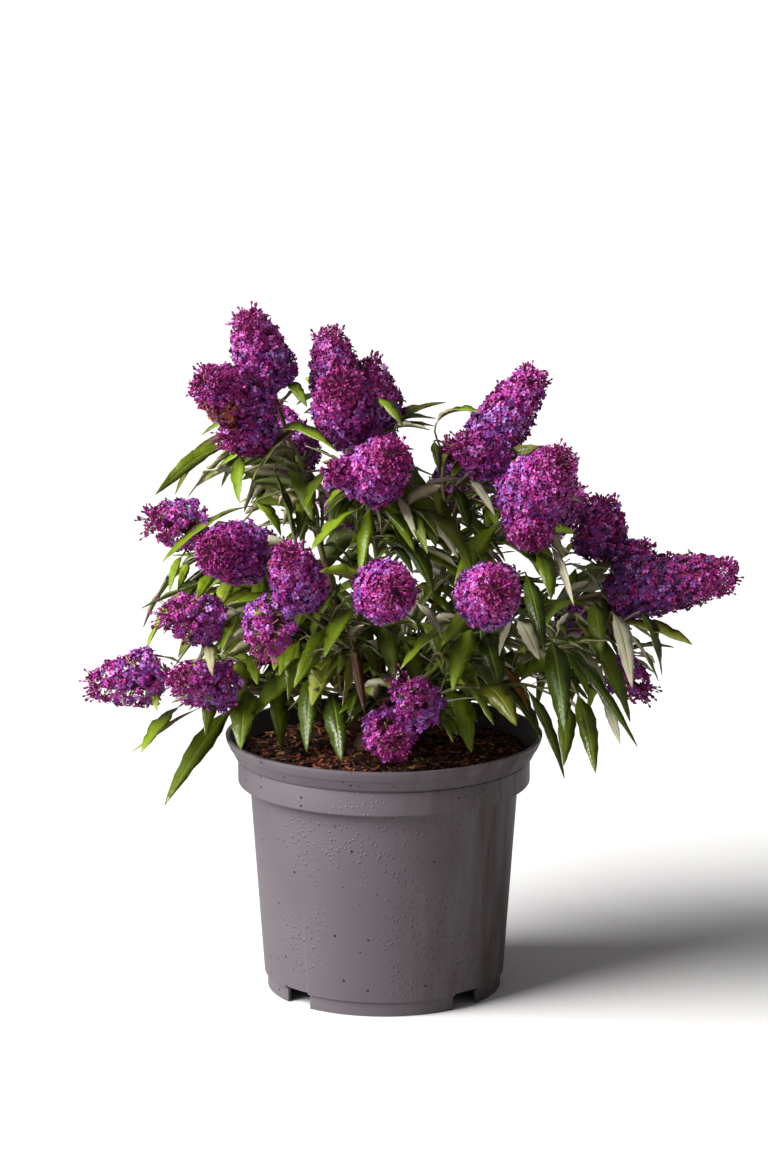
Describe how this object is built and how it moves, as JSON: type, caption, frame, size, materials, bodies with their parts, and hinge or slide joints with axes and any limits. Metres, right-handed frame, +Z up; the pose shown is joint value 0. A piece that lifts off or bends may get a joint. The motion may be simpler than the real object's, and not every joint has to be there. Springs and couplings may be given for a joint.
{
  "type": "butterfly bush in a nursery pot",
  "caption": "Dwarf butterfly bush in full flower, with arching leafy shoots that end in dense purple flower heads, growing in a round plastic nursery pot that stands on its own foot",
  "frame": {"origin": "centre of the pot's foot, on the surface that the pot stands on", "axes": "+Z up, +X to the plant's right as seen from its front, +Y to its back"},
  "size_m": [0.4668, 0.3516, 0.4985],
  "materials": {
    "pot": "matt grey moulded plastic with water spots and specks of soil",
    "compost": "moist dark brown bark and coir compost",
    "bark": "thin flaking tan-brown bark",
    "foliage": "soft green leaves, felted pale below"
  },
  "bodies": {
    "root": {"pot": "pot", "compost": "compost", "stock": "bark", "bough_left_top": "bark", "bough_top": "bark", "bough_right_top": "bark", "bough_right_far": "bark", "bough_left_upper": "bark", "bough_front": "bark", "bough_front_right": "bark", "bough_left_low": "bark", "bough_front_low": "bark", "bough_right_low": "bark", "bough_back_left": "bark", "bough_back": "bark", "bough_back_right": "bark", "foliage_left_top": "foliage", "foliage_top": "foliage", "foliage_right_top": "foliage", "foliage_right_far": "foliage", "foliage_left_upper": "foliage", "foliage_front": "foliage", "foliage_front_right": "foliage", "foliage_left_low": "foliage", "foliage_front_low": "foliage", "foliage_right_low": "foliage", "foliage_back_left": "foliage", "foliage_back": "foliage", "foliage_back_right": "foliage"}
  },
  "joints": []
}
